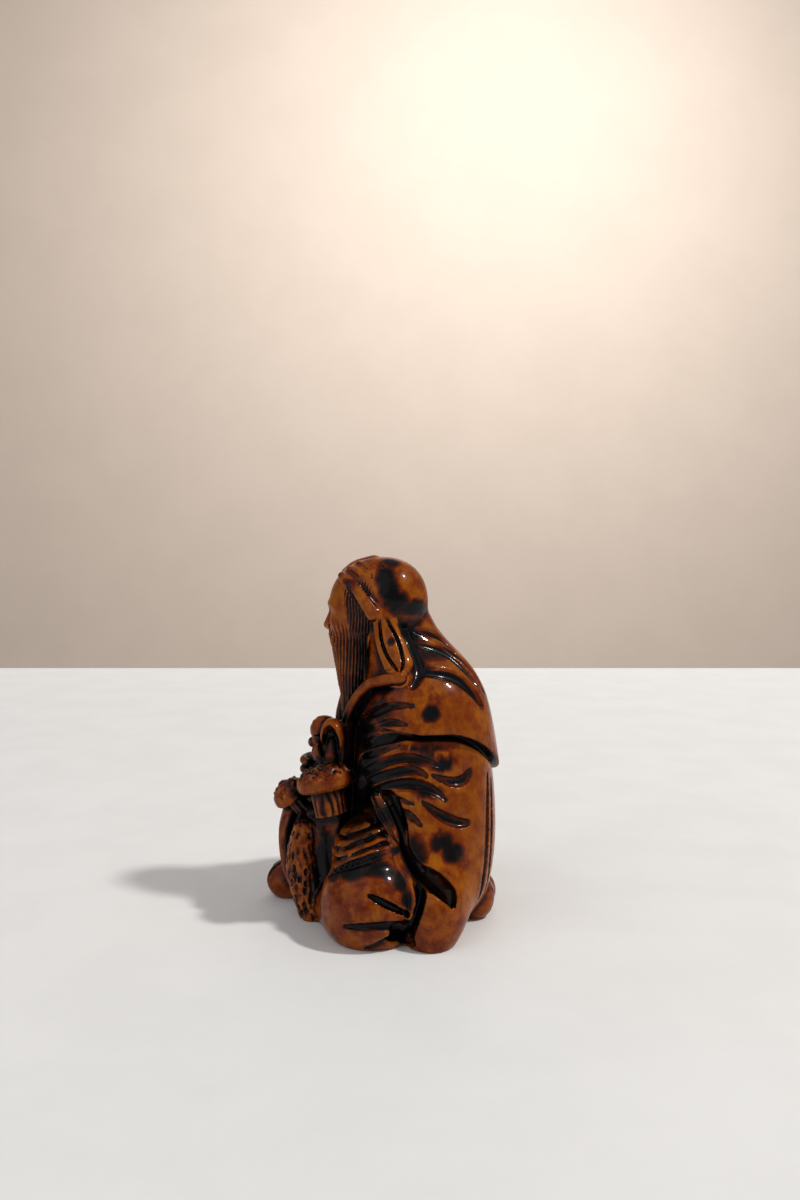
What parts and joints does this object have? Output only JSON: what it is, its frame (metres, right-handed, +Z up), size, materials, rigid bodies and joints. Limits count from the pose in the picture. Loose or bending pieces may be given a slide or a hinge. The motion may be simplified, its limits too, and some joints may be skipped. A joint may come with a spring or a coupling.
{
  "type": "netsuke",
  "caption": "Carved boxwood netsuke of a bearded old man seated in a hooded cloak behind a stump with mushrooms, with a curved cord tunnel at the back.",
  "frame": {"origin": "middle of the bounding box in plan, on the flat underside", "axes": "+Z up from the underside to the crown of the hood; the figure faces -Y, so +X is its left side and +Y its back"},
  "size_m": [0.0308, 0.029, 0.0459],
  "materials": {
    "boxwood": "polished, amber-brown stained boxwood with black stain in the recesses"
  },
  "bodies": {
    "root": {"netsuke": "boxwood"}
  },
  "joints": []
}
